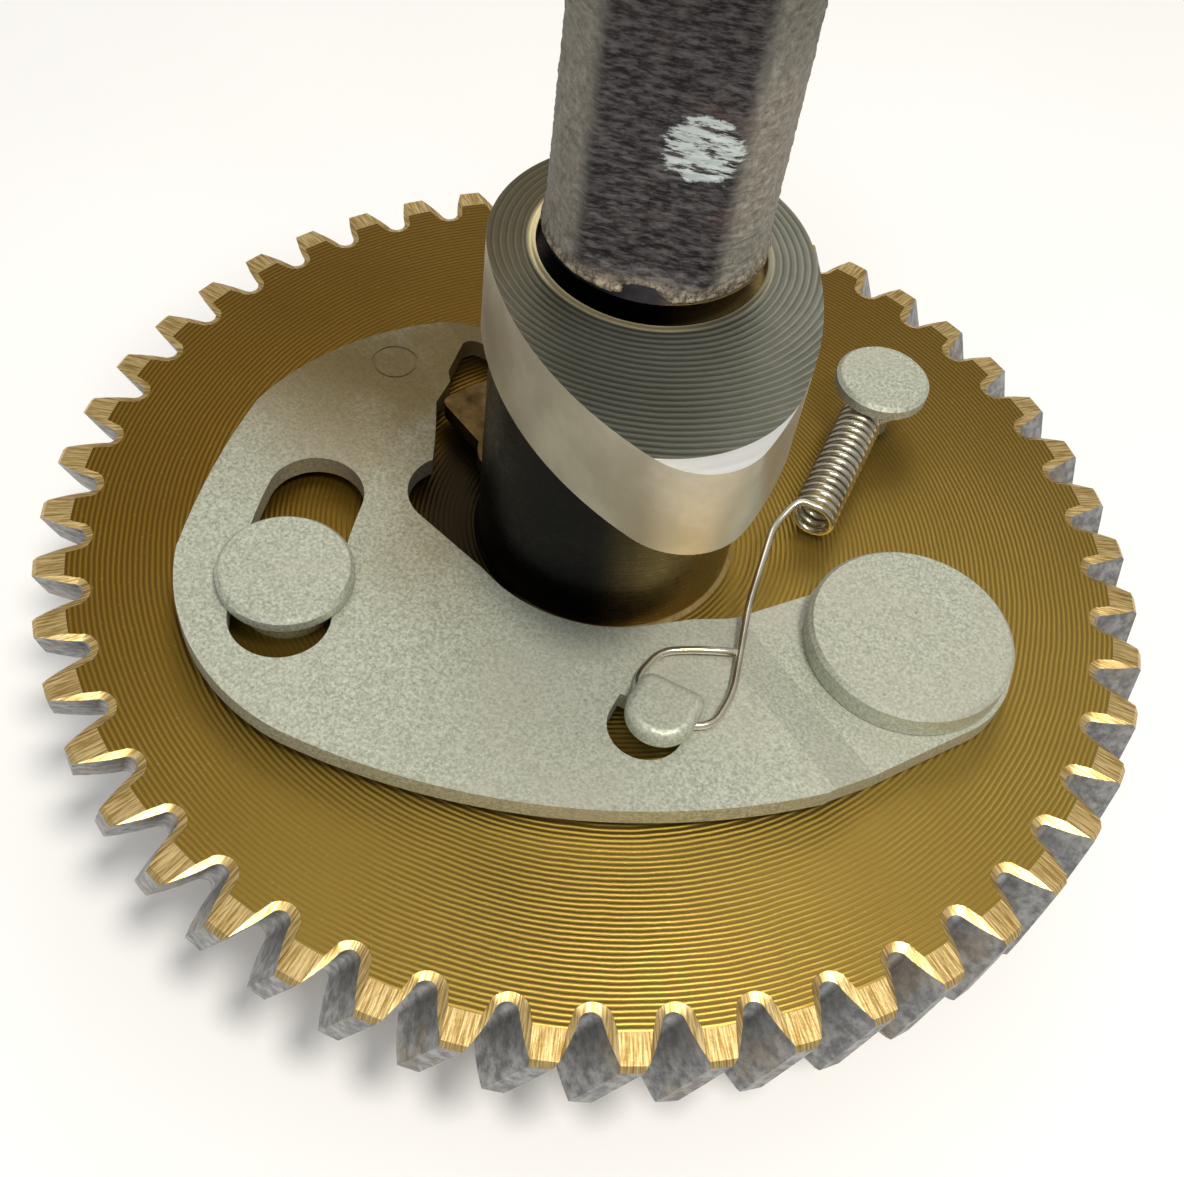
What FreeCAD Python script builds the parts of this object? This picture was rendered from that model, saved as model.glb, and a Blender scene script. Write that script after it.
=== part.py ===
"""Small-engine camshaft with a helical timing gear and a centrifugal compression release.

Frame: millimetres, +Z up the shaft, Z = 0 on the gear face that carries the flyweight, and +X from
the shaft axis towards the flyweight's pivot pin. Angles are degrees about +Z from +X.
"""
import FreeCAD, Part

import math
import os

from FreeCAD import Placement, Rotation, Vector

PART_FOLDER = "parts"
NODE_NAMES = []
RELEASE_FLAT_LAG = 80.0
FACET_CENTRE = (4.1, -8.75)
HOOK_EDGE_RADIUS = 0.75

# Driving dimensions: millimetres and degrees, one spreadsheet row each.
DIMENSIONS = {
    # helical gear
    "gear_teeth": 48,
    "normal_module": 1.75,
    "helix_angle": 25.0,
    "pressure_angle": 20.0,
    "gear_thickness": 7.2,
    "gear_phase": 6.8,
    "tooth_thickness": 3.15,
    "dedendum_factor": 1.35,
    "bevel_width": 0.65,
    "bevel_drop": 0.28,
    "bevel_tip_radius": 45.3,
    "tip_break": 0.38,
    "gear_bore_radius": 9.02,
    # camshaft core, from the drive end up
    "journal_radius": 7.9375,
    "journal_chamfer": 0.8,
    "lower_end": -24.0,
    "gear_seat_radius": 9.0,
    "hub_radius": 11.1,
    "hub_fillet": 0.35,
    "land_radius": 8.35,
    "land_end": 30.3,
    "neck_radius": 7.1,
    "neck_end": 32.4,
    "rough_radius": 7.75,
    "rough_foot_radius": 8.15,
    "rough_foot_height": 2.2,
    "rough_flat_offset": 6.4,
    "rough_flat_angle": -73.0,
    "rough_end": 58.0,
    "upper_land_radius": 8.6,
    "upper_land_end": 68.5,
    "upper_end": 90.0,
    # cams
    "base_radius": 11.85,
    "nose_radius": 5.4,
    "nose_offset": 16.2,
    "flank_radius": 29.3,
    "exhaust_angle": -54.5,
    "intake_angle": -160.5,
    "exhaust_bottom": 23.0,
    "exhaust_top": 31.25,
    "facet_radius": 10.9,
    "facet_width": 1.6,
    "facet_drop": 0.3,
    "facet_start": 14.0,
    "intake_bottom": 59.5,
    "intake_top": 67.75,
    # key
    "key_width": 4.0,
    "key_height": 3.6,
    "key_length": 6.0,
    "key_inner": 7.2,
    # flyweight
    "weight_thickness": 1.8,
    "weight_gap": 1.1,
    "ear_gap": 0.2,
    "joggle_distance": 12.3,
    "joggle_angle": 60.7,
    "joggle_run": 4.0,
    "slot_radius": 51.2,
    "slot_width": 8.2,
    "slot_outer_angle": -166.4,
    "slot_inner_angle": -151.8,
    "hook_thickness": 1.5,
    "mark_radius": 2.0,
    "mark_depth": 0.08,
    # pins
    "pivot_distance": 27.9,
    "pivot_head_radius": 8.6,
    "pivot_shoulder_radius": 4.5,
    "pivot_tail_radius": 3.5,
    "guide_angle": -156.0,
    "guide_head_radius": 5.55,
    "guide_shank_radius": 3.95,
    "guide_tail_radius": 2.6,
    "post_x": 15.9,
    "post_y": 25.2,
    "post_head_radius": 4.36,
    "post_head_top": 6.2,
    "post_neck_radius": 1.8,
    "post_tail_radius": 1.6,
    "head_top": 4.4,
    "tail_head_height": 1.2,
    "running_clearance": 0.05,
    # compression release
    "release_distance": 10.0,
    "release_angle": 169.0,
    "release_radius": 2.6,
    "release_top": 28.4,
    "release_spigot_radius": 1.5,
    "release_spigot_depth": 4.0,
    "release_flat_offset": 0.6,
    "lever_thickness": 1.6,
    "lever_boss_radius": 3.9,
    "lever_length": 8.7,
    "lever_width": 5.0,
    "lever_angle": 154.0,
    # return spring
    "spring_wire": 0.65,
    "spring_outer_radius": 2.12,
    "spring_turns": 16,
    "spring_height": 2.6,
    "wire_height": 3.4,
}

doc = FreeCAD.newDocument("camshaft_assembly")


def write_spreadsheet():
    """Put every driving dimension in a cell of column B, named by its alias."""
    sheet = doc.addObject("Spreadsheet::Sheet", "dimensions")
    for row, (alias, size) in enumerate(DIMENSIONS.items(), start=1):
        sheet.set(f"A{row}", alias)
        sheet.set(f"B{row}", str(size))
        sheet.setAlias(f"B{row}", alias)
    doc.recompute()
    return sheet


SHEET = write_spreadsheet()


def size(alias):
    """A driving dimension, read back from the spreadsheet."""
    return float(getattr(SHEET, alias))


def cell(formula):
    """A formula over spreadsheet aliases, written as a FreeCAD expression."""
    words = formula.replace("(", "( ").replace(")", " )").split()
    return " ".join(f"dimensions.{word}" if word in DIMENSIONS else word for word in words)


def polar(radius, angle, height=0.0, centre=(0.0, 0.0)):
    """The point at a radius and an angle in degrees about a centre."""
    turn = math.radians(angle)
    return Vector(centre[0] + radius * math.cos(turn), centre[1] + radius * math.sin(turn), height)


def cylinder(name, radius, bottom, top, centre=("0", "0")):
    """An upright Part cylinder whose sizes follow formulas over the spreadsheet."""
    solid = doc.addObject("Part::Cylinder", name)
    solid.setExpression("Radius", cell(radius))
    solid.setExpression("Height", cell(f"( {top} ) - ( {bottom} )"))
    solid.setExpression("Placement.Base.x", cell(centre[0]))
    solid.setExpression("Placement.Base.y", cell(centre[1]))
    solid.setExpression("Placement.Base.z", cell(bottom))
    return solid


def cone(name, lower_radius, upper_radius, bottom, top, centre=("0", "0")):
    """An upright Part cone whose sizes follow formulas over the spreadsheet."""
    solid = doc.addObject("Part::Cone", name)
    solid.setExpression("Radius1", cell(lower_radius))
    solid.setExpression("Radius2", cell(upper_radius))
    solid.setExpression("Height", cell(f"( {top} ) - ( {bottom} )"))
    solid.setExpression("Placement.Base.x", cell(centre[0]))
    solid.setExpression("Placement.Base.y", cell(centre[1]))
    solid.setExpression("Placement.Base.z", cell(bottom))
    return solid


def fuse(name, *solids):
    """One Part fusion of several objects, or the object itself if there is only one."""
    if len(solids) == 1:
        return solids[0]
    joined = doc.addObject("Part::MultiFuse", name)
    joined.Shapes = list(solids)
    joined.Refine = True
    return joined


def cut(name, base, tool):
    """The base object with the tool object taken out of it."""
    result = doc.addObject("Part::Cut", name)
    result.Base = base
    result.Tool = tool
    return result


def common(name, first, second):
    """The space that two objects share."""
    result = doc.addObject("Part::Common", name)
    result.Base = first
    result.Tool = second
    return result


def plain(name, shape):
    """An object that holds a shape made with Part's own functions."""
    feature = doc.addObject("Part::Feature", name)
    feature.Shape = shape
    return feature


def node(feature, label):
    """Name a finished sub-part: the label is the name of its file."""
    feature.Label = label
    NODE_NAMES.append(feature.Name)
    return feature


def new_sketch(body, name):
    """A sketch on a body's own XY plane."""
    sketch = body.newObject("Sketcher::SketchObject", name)
    plane = next(item for item in body.Origin.OriginFeatures if item.Role == "XY_Plane")
    sketch.AttachmentSupport = [(plane, "")]
    sketch.MapMode = "FlatFace"
    return sketch


def outline_geometry(start, steps):
    """Edges from a start point: ("line", end) or ("arc", point on it, end)."""
    edges = []
    here = start
    for step in steps:
        end = step[-1]
        if step[0] == "line":
            edges.append(Part.LineSegment(here, end))
        else:
            edges.append(Part.Arc(here, step[1], end))
        here = end
    return edges


def prism(name, edges, bottom, height):
    """A PartDesign pad of one closed outline, from a bottom height upwards."""
    body = doc.addObject("PartDesign::Body", name + "_body")
    sketch = new_sketch(body, name + "_outline")
    sketch.setExpression("AttachmentOffset.Base.z", cell(bottom))
    sketch.addGeometry(edges, False)
    pad = body.newObject("PartDesign::Pad", name + "_pad")
    pad.Profile = sketch
    pad.setExpression("Length", cell(height))
    sketch.Visibility = False
    return body


# --- helical timing gear -------------------------------------------------------------------------


def involute(angle):
    """The involute function of an angle in radians."""
    return math.tan(angle) - angle


class ToothForm:
    """The transverse tooth form of the helical gear, from the spreadsheet's dimensions."""

    def __init__(self):
        helix = math.radians(size("helix_angle"))
        module = size("normal_module")
        self.teeth = int(size("gear_teeth"))
        self.pitch_radius = self.teeth * module / math.cos(helix) / 2
        self.tip_radius = self.pitch_radius + module
        self.root_radius = self.pitch_radius - size("dedendum_factor") * module
        pressure = math.atan(math.tan(math.radians(size("pressure_angle"))) / math.cos(helix))
        self.base_radius = self.pitch_radius * math.cos(pressure)
        self.pitch_half_angle = size("tooth_thickness") / (2 * self.pitch_radius)
        self.pitch_involute = involute(pressure)
        self.twist_per_mm = math.tan(helix) / self.pitch_radius

    def half_angle(self, radius, inset):
        """Half the tooth's angle at a radius, with its flanks moved in by the inset."""
        pressure = math.acos(self.base_radius / radius)
        flank = self.pitch_half_angle + self.pitch_involute - involute(pressure)
        return flank - inset / self.base_radius

    def outline(self, height, inset, tip_radius, root_inset):
        """The closed wire of the whole gear at a height, its gaps widened by the inset."""
        root_radius = self.root_radius - root_inset
        fillet_radius = root_radius + 0.75
        flank_radii = [fillet_radius + (tip_radius - fillet_radius) * step / 3 for step in range(4)]
        pitch_angle = 2 * math.pi / self.teeth
        first = math.radians(size("gear_phase")) + height * self.twist_per_mm
        edges = []
        for tooth in range(self.teeth):
            middle = first + tooth * pitch_angle
            rising = [self.point(r, middle - self.half_angle(r, inset), height) for r in flank_radii]
            falling = [self.point(r, middle + self.half_angle(r, inset), height) for r in flank_radii]
            falling.reverse()
            crown = self.point(tip_radius, middle, height)
            root = self.point(root_radius, middle + pitch_angle / 2, height)
            next_middle = middle + pitch_angle
            next_half = self.half_angle(fillet_radius, inset)
            next_foot = self.point(fillet_radius, next_middle - next_half, height)
            edges.append(spline(rising))
            edges.append(Part.Arc(rising[-1], crown, falling[0]).toShape())
            edges.append(spline(falling))
            edges.append(Part.Arc(falling[-1], root, next_foot).toShape())
        return Part.Wire(edges)

    @staticmethod
    def point(radius, angle, height):
        return Vector(radius * math.cos(angle), radius * math.sin(angle), height)


def spline(points):
    """A smooth edge through a few points."""
    curve = Part.BSplineCurve()
    curve.interpolate(points)
    return curve.toShape()


def helical_gear():
    """The gear: ruled tooth surfaces between outlines turned along the helix."""
    form = ToothForm()
    bottom = -size("gear_thickness")
    drop = size("bevel_drop")
    tip_break = size("tip_break")
    bevel = size("bevel_width")
    tip = form.tip_radius
    middle = bottom / 2
    outlines = [
        form.outline(bottom, 0.25, tip - tip_break, 0.25),
        form.outline(bottom + tip_break, 0.0, tip, 0.0),
        form.outline(middle, 0.0, tip, 0.0),
        form.outline(-drop - tip_break, 0.0, tip, 0.0),
        form.outline(-drop, 0.0, tip - tip_break, 0.0),
        form.outline(0.0, bevel, size("bevel_tip_radius"), bevel),
    ]
    blank = plain("gear_blank", Part.makeLoft(outlines, True, True))
    bore = cylinder("gear_bore", "gear_bore_radius", "-2 * gear_thickness", "gear_thickness")
    keyway = key_box("gear_keyway", 0.02)
    holes = [
        cylinder("gear_pivot_hole", "pivot_tail_radius", "-2 * gear_thickness", "1", PIVOT),
        cylinder("gear_guide_hole", "guide_tail_radius", "-2 * gear_thickness", "1", GUIDE),
        cylinder("gear_post_hole", "post_tail_radius", "-2 * gear_thickness", "1", POST),
        cylinder(
            "gear_release_hole",
            "release_spigot_radius + running_clearance",
            "-1 * release_spigot_depth - 0.2",
            "1",
            RELEASE,
        ),
    ]
    node(cut("gear_drilled", blank, fuse("gear_holes", bore, keyway, *holes)), "cam_gear")


# --- places of the pins ----------------------------------------------------------------------------

PIVOT = ("pivot_distance", "0")
GUIDE = (
    "pivot_distance + slot_radius * cos( guide_angle * 1deg )",
    "slot_radius * sin( guide_angle * 1deg )",
)
POST = ("post_x", "post_y")
RELEASE = (
    "release_distance * cos( release_angle * 1deg )",
    "release_distance * sin( release_angle * 1deg )",
)


def key_box(name, clearance):
    """The square key's space across the joint of the gear and the shaft, at angle zero."""
    box = doc.addObject("Part::Box", name)
    box.setExpression("Length", cell(f"key_height + {clearance}"))
    box.setExpression("Width", cell(f"key_width + {2 * clearance}"))
    box.setExpression("Height", cell(f"key_length + {2 * clearance}"))
    box.setExpression("Placement.Base.x", cell("key_inner"))
    box.setExpression("Placement.Base.y", cell(f"-0.5 * key_width - {clearance}"))
    box.setExpression("Placement.Base.z", cell(f"-0.5 * gear_thickness - 0.5 * key_length - {clearance}"))
    return box


# --- camshaft core and cams --------------------------------------------------------------------------


def rough_shaft():
    """The unmachined stretch between the cams: two opposite flats above a round foot."""
    slab = doc.addObject("Part::Box", "rough_slab")
    slab.setExpression("Length", cell("2 * rough_flat_offset"))
    slab.Width = 40
    slab.setExpression("Height", cell("rough_end - neck_end"))
    turn = Rotation(Vector(0, 0, 1), size("rough_flat_angle"))
    corner = turn.multVec(Vector(-size("rough_flat_offset"), -20, 0))
    slab.Placement = Placement(corner + Vector(0, 0, size("neck_end")), turn)
    bar = common("rough_bar", cylinder("rough_round", "rough_radius", "neck_end", "rough_end"), slab)
    edge_top = "neck_end + 0.5"
    return fuse(
        "rough_stretch",
        bar,
        cone("rough_foot_edge", "neck_radius + 0.4", "rough_foot_radius", "neck_end", edge_top),
        cone("rough_foot", "rough_foot_radius", "rough_flat_offset - 0.1", edge_top,
             "neck_end + rough_foot_height"),
    )


def camshaft_core():
    """The one-piece shaft that everything else is fitted to."""
    chamfer = "journal_chamfer"
    shaft = fuse(
        "core_turned",
        cone("lower_chamfer", "journal_radius - journal_chamfer", "journal_radius",
             "lower_end", f"lower_end + {chamfer}"),
        cylinder("lower_journal", "journal_radius", f"lower_end + {chamfer}", "-1 * gear_thickness"),
        cylinder("gear_seat", "gear_seat_radius", "-1 * gear_thickness", "0"),
        cylinder("hub", "hub_radius", "0", "exhaust_bottom"),
        cone("hub_foot", "hub_radius + hub_fillet", "hub_radius", "0", "hub_fillet"),
        cylinder("cam_land", "land_radius", "exhaust_bottom", "land_end"),
        cylinder("neck", "neck_radius", "land_end", "neck_end"),
        rough_shaft(),
        cylinder("upper_land", "upper_land_radius", "rough_end", "upper_land_end"),
        cylinder("upper_journal", "journal_radius", "upper_land_end", f"upper_end - {chamfer}"),
        cone("upper_chamfer", "journal_radius", "journal_radius - journal_chamfer",
             f"upper_end - {chamfer}", "upper_end"),
    )
    pockets = fuse(
        "core_pockets",
        key_box("core_keyway", 0.02),
        cylinder("core_release_bore", "release_radius + running_clearance", "0",
                 "release_top + 0.3", RELEASE),
        cylinder("core_lever_pocket", "lever_boss_radius + 0.6", "0",
                 "weight_gap + lever_thickness + 0.5", RELEASE),
        cylinder("core_spigot_groove", "release_spigot_radius + running_clearance",
                 "-1 * release_spigot_depth - 0.2", "0.5", RELEASE),
    )
    node(cut("core_cut", shaft, pockets), "camshaft_core")


def cam_outline(angle):
    """A symmetrical lobe: base circle, two flank arcs tangent to it, and a nose arc."""
    base = size("base_radius")
    nose = size("nose_radius")
    offset = size("nose_offset")
    flank = size("flank_radius")
    # The flank circle holds the base circle and the nose circle inside it, touching both.
    to_base = flank - base
    to_nose = flank - nose
    along = (offset ** 2 + to_base ** 2 - to_nose ** 2) / (2 * offset)
    across = math.sqrt(to_base ** 2 - along ** 2)
    turn = Rotation(Vector(0, 0, 1), angle)

    def side(sign):
        centre = Vector(along, sign * across, 0)
        base_touch = centre * (-base / to_base)
        nose_centre = Vector(offset, 0, 0)
        towards = (nose_centre - centre).normalize()
        nose_touch = nose_centre + towards * nose
        middle = (base_touch + nose_touch - centre * 2).normalize()
        return base_touch, centre + middle * flank, nose_touch

    left_base, left_flank, left_nose = side(-1)
    right_base, right_flank, right_nose = side(1)
    points = [left_base, left_flank, left_nose, Vector(offset + nose, 0, 0),
              right_nose, right_flank, right_base, Vector(-base, 0, 0)]
    points = [turn.multVec(point) for point in points]
    steps = [
        ("arc", points[1], points[2]),
        ("arc", points[3], points[4]),
        ("arc", points[5], points[6]),
        ("arc", points[7], points[0]),
    ]
    return outline_geometry(points[0], steps)


def cam(prefix, bore_alias, tools=()):
    """One lobe with its bore, between its bottom and top heights."""
    bottom = f"{prefix}_bottom"
    top = f"{prefix}_top"
    lobe = prism(prefix + "_lobe", cam_outline(size(prefix + "_angle")), bottom, f"{top} - {bottom}")
    bore = cylinder(prefix + "_bore", bore_alias, f"{bottom} - 1", f"{top} + 1")
    return cut(prefix + "_bored", lobe, fuse(prefix + "_tools", bore, *tools))


def exhaust_cam():
    """The lobe next to the gear: its base circle is open where the release pin looks out."""
    release_bore = cylinder("exhaust_release_bore", "release_radius + running_clearance",
                            "exhaust_bottom - 1", "release_top + 0.3", RELEASE)
    bored = cam("exhaust", "land_radius", [release_bore])
    node(cut("exhaust_ground", bored, nose_facet()), "exhaust_cam")


def nose_facet():
    """The thin lens that a hand-ground facet takes off the top edge, widest beside the nose's tip."""
    top = size("exhaust_top")
    drop = size("facet_drop")
    inner = size("facet_radius")
    reach = 4 * inner
    foot = Vector(FACET_CENTRE[0], FACET_CENTRE[1], top - drop)
    ring = Part.makeCylinder(reach, drop, foot)
    kept = Part.makeCone(inner + size("facet_width"), inner, drop, foot)
    nose_side = Part.makeBox(reach, 2 * reach, drop, Vector(size("facet_start"), -reach, top - drop))
    nose_side.rotate(Vector(0, 0, 0), Vector(0, 0, 1), size("exhaust_angle"))
    return plain("nose_facet_tool", ring.cut(kept).common(nose_side))


def intake_cam():
    """The lobe at the far end of the rough stretch."""
    node(cam("intake", "upper_land_radius + 0.02"), "intake_cam")


def gear_key():
    """The square key that turns the gear with the shaft."""
    node(key_box("key", 0.0), "gear_key")


# --- flyweight ---------------------------------------------------------------------------------------


def flyweight_outline():
    """The crescent seen from above, from the ear round the outside to the notch and back."""
    steps = [
        ("line", Vector(27.2, -16.9, 0)),
        ("arc", Vector(9.4, -28.5, 0), Vector(-11.2, -33.1, 0)),
        ("arc", Vector(-22.2, -29.6, 0), Vector(-28.2, -22.7, 0)),
        ("arc", Vector(-31.2, -12.3, 0), Vector(-32.3, -5.5, 0)),
        ("arc", Vector(-29.4, 5.0, 0), Vector(-22.4, 13.3, 0)),
        ("arc", Vector(-19.4, 14.6, 0), Vector(-16.6, 14.9, 0)),
        ("arc", Vector(-15.3, 13.6, 0), Vector(-16.6, 12.3, 0)),
        ("line", Vector(-19.2, 12.1, 0)),
        ("arc", Vector(-20.4, 11.5, 0), Vector(-20.6, 10.6, 0)),
        ("line", Vector(-19.9, 6.9, 0)),
        ("line", Vector(-19.1, 5.8, 0)),
        ("line", Vector(-18.8, 2.8, 0)),
        ("arc", Vector(-17.1, -0.2, 0), Vector(-15.5, -3.4, 0)),
        ("arc", Vector(-15.9, -6.7, 0), Vector(-12.9, -9.5, 0)),
        ("line", Vector(-5.6, -11.74, 0)),
        ("arc", Vector(1.5, -12.91, 0), Vector(8.7, -9.66, 0)),
        ("line", Vector(13.9, -5.2, 0)),
        ("line", Vector(18.92, 1.0, 0)),
        ("arc", Vector(31.0, 8.46, 0), Vector(34.9, -5.6, 0)),
    ]
    return outline_geometry(Vector(34.9, -5.6, 0), steps)


def joggled_sheet():
    """A bent strip as wide as the crescent: low round the pivot, higher beyond the bend line."""
    thickness = size("weight_thickness")
    low = size("ear_gap")
    high = size("weight_gap")
    near = -size("joggle_distance") + size("joggle_run") / 2
    far = -size("joggle_distance") - size("joggle_run") / 2
    reach = 90.0
    lower = [(reach, low), (near, low), (far, high), (-reach, high)]
    upper = [(x, z + thickness) for x, z in reversed(lower)]
    corners = [Vector(x, -reach, z) for x, z in lower + upper]
    section = Part.Face(Part.makePolygon(corners + corners[:1]))
    strip = section.extrude(Vector(0, 2 * reach, 0))
    feature = plain("joggled_strip", strip)
    turn = Rotation(Vector(0, 0, 1), size("joggle_angle"))
    feature.Placement = Placement(Vector(size("pivot_distance"), 0, 0), turn)
    return feature


def slot_outline():
    """The guide slot: two arcs about the pivot, closed by half circles."""
    centre = (size("pivot_distance"), 0.0)
    radius = size("slot_radius")
    half = size("slot_width") / 2
    start = size("slot_outer_angle")
    end = size("slot_inner_angle")
    middle = (start + end) / 2
    over = math.degrees(half / radius)
    steps = [
        ("arc", polar(radius + half, middle, 0, centre), polar(radius + half, end, 0, centre)),
        ("arc", polar(radius, end + over, 0, centre), polar(radius - half, end, 0, centre)),
        ("arc", polar(radius - half, middle, 0, centre), polar(radius - half, start, 0, centre)),
        ("arc", polar(radius, start - over, 0, centre), polar(radius + half, start, 0, centre)),
    ]
    return outline_geometry(polar(radius + half, start, 0, centre), steps)


def hook_opening():
    """The hole that the lanced hook leaves in the plate."""
    steps = [
        ("line", Vector(15.6, -18.6, 0)),
        ("arc", Vector(12.55, -21.65, 0), Vector(9.5, -18.6, 0)),
        ("line", Vector(9.5, -16.9, 0)),
        ("line", Vector(15.6, -16.9, 0)),
    ]
    return outline_geometry(Vector(15.6, -16.9, 0), steps)


def spring_hook():
    """The lanced hook: a narrow riser with a rounded tongue bent over towards the opening."""
    bottom = size("weight_gap") + size("weight_thickness") - 0.4
    under = size("wire_height") + 0.9
    thick = size("hook_thickness")
    riser = Part.makeBox(3.0, 1.5, under - bottom + 0.6, Vector(11.7, -16.9, bottom))
    steps = [
        ("line", Vector(16.1, -17.6, 0)),
        ("arc", Vector(13.35, -20.9, 0), Vector(10.6, -17.8, 0)),
        ("line", Vector(10.6, -16.6, 0)),
        ("arc", Vector(10.95, -15.75, 0), Vector(11.9, -15.4, 0)),
        ("line", Vector(15.2, -15.4, 0)),
        ("arc", Vector(15.85, -15.7, 0), Vector(16.1, -16.4, 0)),
    ]
    edges = [edge.toShape() for edge in outline_geometry(Vector(16.1, -16.4, 0), steps)]
    tongue = Part.Face(Part.Wire(edges)).extrude(Vector(0, 0, thick))
    upper_edges = [edge for edge in tongue.Edges if edge.BoundBox.ZMin > thick - 0.01]
    rounded = tongue.makeFillet(HOOK_EDGE_RADIUS, upper_edges)
    rounded.translate(Vector(0, 0, under))
    return plain("spring_hook", riser.fuse(rounded).removeSplitter())


def ring_mark(name, x, y):
    """A shallow ring pressed into the plate's upper face."""
    top = "weight_gap + weight_thickness"
    centre = (str(x), str(y))
    outer = cylinder(name + "_outer", "mark_radius + 0.12", f"{top} - mark_depth", f"{top} + 1", centre)
    inner = cylinder(name + "_inner", "mark_radius - 0.12", f"{top} - 1", f"{top} + 2", centre)
    return cut(name, outer, inner)


def flyweight():
    """The centrifugal weight: a joggled plate with its slot, pivot hole and spring hook."""
    plate = common("weight_plate", prism("weight", flyweight_outline(), "0", "6"), joggled_sheet())
    holes = fuse(
        "weight_holes",
        prism("slot", slot_outline(), "-1", "8"),
        prism("hook_hole", hook_opening(), "-1", "8"),
        cylinder("weight_pivot_hole", "pivot_shoulder_radius + running_clearance", "-1", "7", PIVOT),
        ring_mark("front_mark", -3.6, -20.6),
        ring_mark("rear_mark", -24.6, 5.2),
    )
    node(fuse("weight_with_hook", cut("weight_pierced", plate, holes), spring_hook()), "flyweight")


# --- pins --------------------------------------------------------------------------------------------


def headed_pin(label, centre, head, head_bottom, head_top, shank, tail):
    """A rivet: rounded head, shank on the gear face, tail through the gear and a peened end."""
    edge = "0.35"
    steps = fuse(
        label + "_steps",
        cylinder(label + "_head", head, head_bottom, f"{head_top} - {edge}", centre),
        cone(label + "_head_edge", head, f"{head} - {edge}", f"{head_top} - {edge}", head_top, centre),
        cylinder(label + "_shank", shank, "0", head_bottom, centre),
        cylinder(label + "_tail", f"{tail} - 0.02", "-1 * gear_thickness", "0", centre),
        cone(label + "_peened_end", f"{tail} + 0.6", f"{tail} + 1.6",
             "-1 * gear_thickness - tail_head_height", "-1 * gear_thickness", centre),
    )
    return node(steps, label)


def pins():
    """The three pins riveted into the gear."""
    headed_pin("pivot_pin", PIVOT, "pivot_head_radius", "ear_gap + weight_thickness + 0.1",
               "head_top", "pivot_shoulder_radius", "pivot_tail_radius")
    headed_pin("guide_pin", GUIDE, "guide_head_radius", "weight_gap + weight_thickness + 0.25",
               "head_top", "guide_shank_radius", "guide_tail_radius")
    headed_pin("spring_post", POST, "post_head_radius", "post_head_top - 1.3",
               "post_head_top", "post_neck_radius", "post_tail_radius")


# --- compression release -------------------------------------------------------------------------------


def release_pin():
    """The rocking pin: half of its upper end is cut away, so turning it clears the base circle."""
    round_pin = fuse(
        "release_round",
        cylinder("release_body", "release_radius", "0.15", "release_top", RELEASE),
        cylinder("release_spigot", "release_spigot_radius", "-1 * release_spigot_depth", "0.15", RELEASE),
    )
    # At rest the round side stands out past the base circle; the swing brings the flat there instead.
    turn = Rotation(Vector(0, 0, 1), size("release_angle") - RELEASE_FLAT_LAG)
    flat = Part.makeBox(5, 10, size("release_top"), Vector(size("release_flat_offset"), -5, 0))
    tool = plain("release_flat_tool", flat)
    place = polar(size("release_distance"), size("release_angle"), size("exhaust_bottom") - 0.5)
    tool.Placement = Placement(place, turn)
    node(cut("release_ground", round_pin, tool), "release_pin")


def release_lever():
    """The stamped lever that is staked on the pin and reaches into the flyweight's notch."""
    centre = polar(size("release_distance"), size("release_angle"))
    turn = Rotation(Vector(0, 0, 1), size("lever_angle"))
    half = size("lever_width") / 2
    length = size("lever_length")
    corner = 0.9

    def at(along, across):
        return centre + turn.multVec(Vector(along, across, 0))

    steps = [
        ("line", at(length - corner, half)),
        ("arc", at(length - 0.3 * corner, half - 0.3 * corner), at(length, half - corner)),
        ("line", at(length, corner - half)),
        ("arc", at(length - 0.3 * corner, 0.3 * corner - half), at(length - corner, -half)),
        ("line", at(2.6, -half)),
        ("arc", at(-size("lever_boss_radius"), 0), at(2.6, half)),
    ]
    blade = prism("lever", outline_geometry(at(2.6, half), steps), "weight_gap", "lever_thickness")
    hole = cylinder("lever_hole", "release_radius", "0", "weight_gap + 5", RELEASE)
    node(cut("lever_bored", blade, hole), "release_lever")


# --- return spring -------------------------------------------------------------------------------------


def rounded_runs(points, corner_radius):
    """Edges along straight runs joined by tangent arcs of one radius."""
    edges = []
    here = points[0]
    for before, corner, after in zip(points, points[1:], points[2:]):
        arriving = (corner - before).normalize()
        leaving = (after - corner).normalize()
        bend = arriving.getAngle(leaving)
        back = min(corner_radius * math.tan(bend / 2), 0.45 * (corner - before).Length,
                   0.45 * (after - corner).Length)
        start = corner - arriving * back
        end = corner + leaving * back
        radius = back / math.tan(bend / 2)
        inward = (leaving - arriving).normalize()
        middle = corner + inward * (radius / math.cos(bend / 2) - radius)
        edges.append(Part.LineSegment(here, start).toShape())
        edges.append(Part.Arc(start, middle, end).toShape())
        here = end
    edges.append(Part.LineSegment(here, points[-1]).toShape())
    return edges


def coil_turns(low, high, radius, turns):
    """Half-turn arcs that climb the coil's axis; every joint is on top or below, running across."""
    axis = (high - low).normalize()
    up = Vector(0, 0, 1)
    across = axis.cross(up)
    half_turn = (high - low) * (0.5 / turns)
    edges = []
    for half in range(2 * turns):
        side = 1 if half % 2 == 0 else -1
        centre = low + half_turn * half
        start = centre + up * (side * radius)
        middle = centre + half_turn * 0.5 + across * (side * radius)
        end = centre + half_turn - up * (side * radius)
        edges.append(Part.Arc(start, middle, end).toShape())
    return edges


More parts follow.
